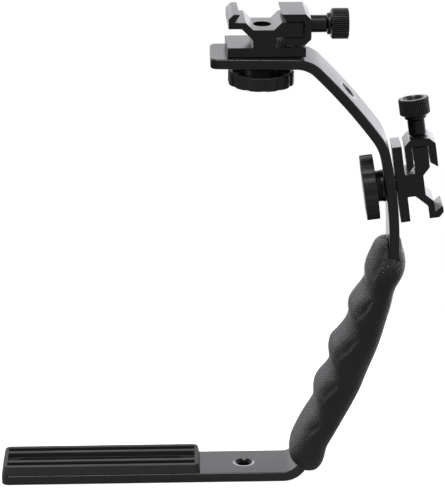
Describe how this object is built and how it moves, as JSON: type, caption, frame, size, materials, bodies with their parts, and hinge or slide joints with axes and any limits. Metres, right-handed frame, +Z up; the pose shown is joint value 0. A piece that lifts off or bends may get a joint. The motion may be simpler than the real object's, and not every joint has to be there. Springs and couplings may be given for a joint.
{
  "type": "camera flash bracket",
  "caption": "Curved flat-bar camera bracket with a slotted ribbed base pad, a finger-scooped hand grip and clamping accessory shoes on its top arm and side.",
  "frame": {"origin": "centre of the tripod hole on the underside of the base", "axes": "+Z up along the upright, +X from the camera slot towards the grip, +Y away from the front of the hand"},
  "size_m": [0.1775, 0.032, 0.1959],
  "materials": {
    "bar_coat": "black satin coating over aluminium bar",
    "shoe_coat": "black anodised, satin",
    "pad_rubber": "black ribbed rubber, matte",
    "grip_rubber": "black moulded rubber with a fine leather-like grain",
    "knob_plastic": "black moulded plastic, satin",
    "dark_steel": "turned steel, satin"
  },
  "bodies": {
    "bracket": {"bracket_bar": "bar_coat", "base_pad": "pad_rubber", "hand_grip": "grip_rubber"},
    "top_shoe": {"top_shoe_body": "shoe_coat"},
    "top_jaw": {"top_clamp_jaw": "shoe_coat", "top_jaw_spacer": "shoe_coat", "top_thrust_washer": "dark_steel"},
    "top_clamp": {"top_clamp_knob": "knob_plastic", "top_clamp_screw": "dark_steel"},
    "top_washer": {"top_mount_washer": "dark_steel"},
    "top_wheel": {"top_mount_wheel": "knob_plastic", "top_mount_screw": "dark_steel"},
    "side_shoe": {"side_shoe_body": "shoe_coat"},
    "side_jaw": {"side_clamp_jaw": "shoe_coat", "side_jaw_spacer": "shoe_coat", "side_thrust_washer": "dark_steel"},
    "side_clamp": {"side_clamp_knob": "knob_plastic", "side_clamp_screw": "dark_steel"},
    "side_washer": {"side_mount_washer": "dark_steel"},
    "side_wheel": {"side_mount_wheel": "knob_plastic", "side_mount_screw": "dark_steel"}
  },
  "joints": [
    {"name": "top_swivel", "type": "hinge", "parent": "bracket", "child": "top_shoe", "pos_m": [0.00792, 0, 0.17817], "axis": [0.0209, 0, 0.9998], "continuous": true},
    {"name": "top_jaw_slide", "type": "slide", "parent": "top_shoe", "child": "top_jaw", "axis": [0.9987, 0.0471, -0.0209], "range_m": [0, 0.0035]},
    {"name": "top_clamp_turn", "type": "hinge", "parent": "top_jaw", "child": "top_clamp", "pos_m": [0.02813, 0.00094, 0.189], "axis": [0.9987, 0.0471, -0.0209], "range_deg": [0, 1800]},
    {"name": "top_washer_slide", "type": "slide", "parent": "top_shoe", "child": "top_washer", "axis": [-0.0209, 0, -0.9998], "range_m": [0, 0.00381]},
    {"name": "top_wheel_turn", "type": "hinge", "parent": "top_washer", "child": "top_wheel", "pos_m": [0.00792, 0, 0.17817], "axis": [-0.0209, 0, -0.9998], "range_deg": [0, 1080]},
    {"name": "side_swivel", "type": "hinge", "parent": "bracket", "child": "side_shoe", "pos_m": [0.06038, 0, 0.1231], "axis": [0.9923, 0, 0.1237], "continuous": true},
    {"name": "side_jaw_slide", "type": "slide", "parent": "side_shoe", "child": "side_jaw", "axis": [-0.123, 0.1045, 0.9869], "range_m": [0, 0.0035]},
    {"name": "side_clamp_turn", "type": "hinge", "parent": "side_jaw", "child": "side_clamp", "pos_m": [0.06908, 0.00209, 0.14423], "axis": [-0.123, 0.1045, 0.9869], "range_deg": [0, 1800]},
    {"name": "side_washer_slide", "type": "slide", "parent": "side_shoe", "child": "side_washer", "axis": [-0.9923, 0, -0.1237], "range_m": [0, 0.00381]},
    {"name": "side_wheel_turn", "type": "hinge", "parent": "side_washer", "child": "side_wheel", "pos_m": [0.06038, 0, 0.1231], "axis": [-0.9923, 0, -0.1237], "range_deg": [0, 1080]}
  ],
  "couplings": [
    {"joint": "top_clamp_turn", "follows": "top_jaw_slide", "rad_per_m": 8976},
    {"joint": "top_wheel_turn", "follows": "top_washer_slide", "rad_per_m": 4947.4},
    {"joint": "side_clamp_turn", "follows": "side_jaw_slide", "rad_per_m": 8976},
    {"joint": "side_wheel_turn", "follows": "side_washer_slide", "rad_per_m": 4947.4}
  ]
}
